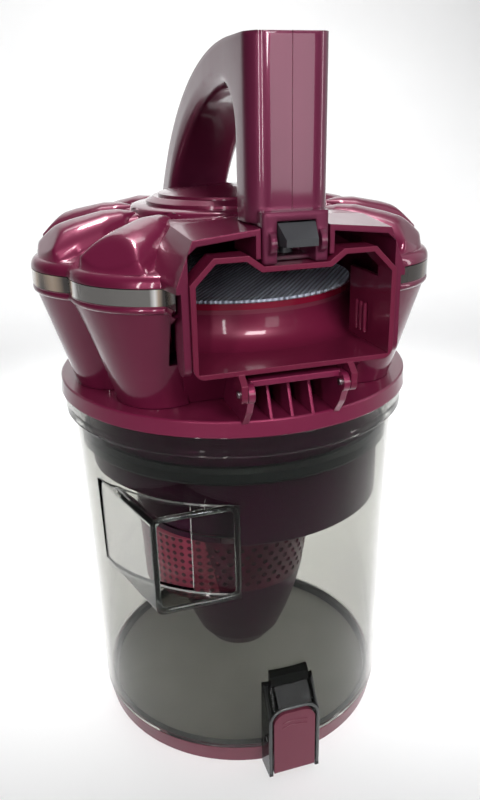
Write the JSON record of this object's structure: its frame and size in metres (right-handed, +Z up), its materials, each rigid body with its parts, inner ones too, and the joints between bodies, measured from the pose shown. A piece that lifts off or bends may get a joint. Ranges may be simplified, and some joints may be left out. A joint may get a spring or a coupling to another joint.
{
  "type": "cyclonic canister vacuum dust bin",
  "caption": "Upright round dust canister for a vacuum cleaner: clear bin with bottom door, lobed cyclone pack, filter under a hinged lid with carry handle and air port.",
  "frame": {"origin": "on the bin's axis, in the plane the canister stands on", "axes": "+Z up along the bin's axis; the outlet port, the lid's hinge and the door latch face -Y; the handle lies in the plane x = 0"},
  "size_m": [0.1958, 0.2009, 0.3485],
  "materials": {
    "smoke_clear": "clear plastic with a light smoke tint",
    "smoke_dark": "dark smoke plastic",
    "burgundy_gloss": "glossy burgundy with a fine pearl",
    "burgundy_satin": "satin burgundy, inner mouldings",
    "chrome_trim": "polished",
    "seal_rubber": "soft black-green rubber",
    "catch_dark": "matt charcoal",
    "steel": "bright steel",
    "filter_fabric": "blue-grey woven filter cloth"
  },
  "bodies": {
    "bin_body": {"bin": "smoke_clear", "inlet_duct": "smoke_clear", "latch_housing": "smoke_dark", "latch_pin": "steel", "latch_spring": "steel", "door_hinge_bracket": "smoke_dark", "door_hinge_pin": "steel", "collar": "burgundy_gloss", "lid_hinge_pins": "steel", "cyclone_housing": "burgundy_gloss", "chrome_band": "chrome_trim", "deck": "burgundy_satin", "filter_drum": "burgundy_satin", "deck_screws": "steel", "cyclone_cones": "burgundy_satin", "vortex_tubes": "burgundy_satin", "filter_frame": "burgundy_satin", "filter_mesh": "filter_fabric", "filter_core": "filter_fabric", "shroud_skirt": "burgundy_satin", "bin_seal": "seal_rubber", "shroud": "burgundy_satin", "shroud_bowl": "burgundy_satin"},
    "lid": {"lid_dome": "burgundy_gloss", "lid_seal": "seal_rubber", "exhaust_duct": "burgundy_gloss", "handle_left": "burgundy_gloss", "handle_right": "burgundy_gloss", "hub_disc": "burgundy_gloss", "handle_screws": "steel", "catch_spring": "steel"},
    "release": {"release_catch": "catch_dark", "release_rod": "steel", "release_button": "catch_dark"},
    "door": {"bottom_door": "burgundy_gloss", "door_plate": "burgundy_satin", "door_seal": "seal_rubber"},
    "door_latch": {"latch_tab": "burgundy_gloss"}
  },
  "joints": [
    {"name": "lid_hinge", "type": "hinge", "parent": "bin_body", "child": "lid", "pos_m": [0, -0.0935, 0.2145], "axis": [1, 0, 0], "range_deg": [0, 85]},
    {"name": "door_hinge", "type": "hinge", "parent": "bin_body", "child": "door", "pos_m": [0, 0.0872, 0.0066], "axis": [1, 0, 0], "range_deg": [0, 90]},
    {"name": "latch_press", "type": "hinge", "parent": "bin_body", "child": "door_latch", "pos_m": [0, -0.0884, 0.024], "axis": [-1, 0, 0], "range_deg": [0, 5], "stiffness_Nm_per_rad": 0.3, "springref_deg": -2.86},
    {"name": "release_slide", "type": "slide", "parent": "lid", "child": "release", "axis": [0, 0, -1], "range_m": [0, 0.0035], "stiffness_N_per_m": 900, "springref_m": -0.002, "deforming": ["catch_spring"]}
  ]
}
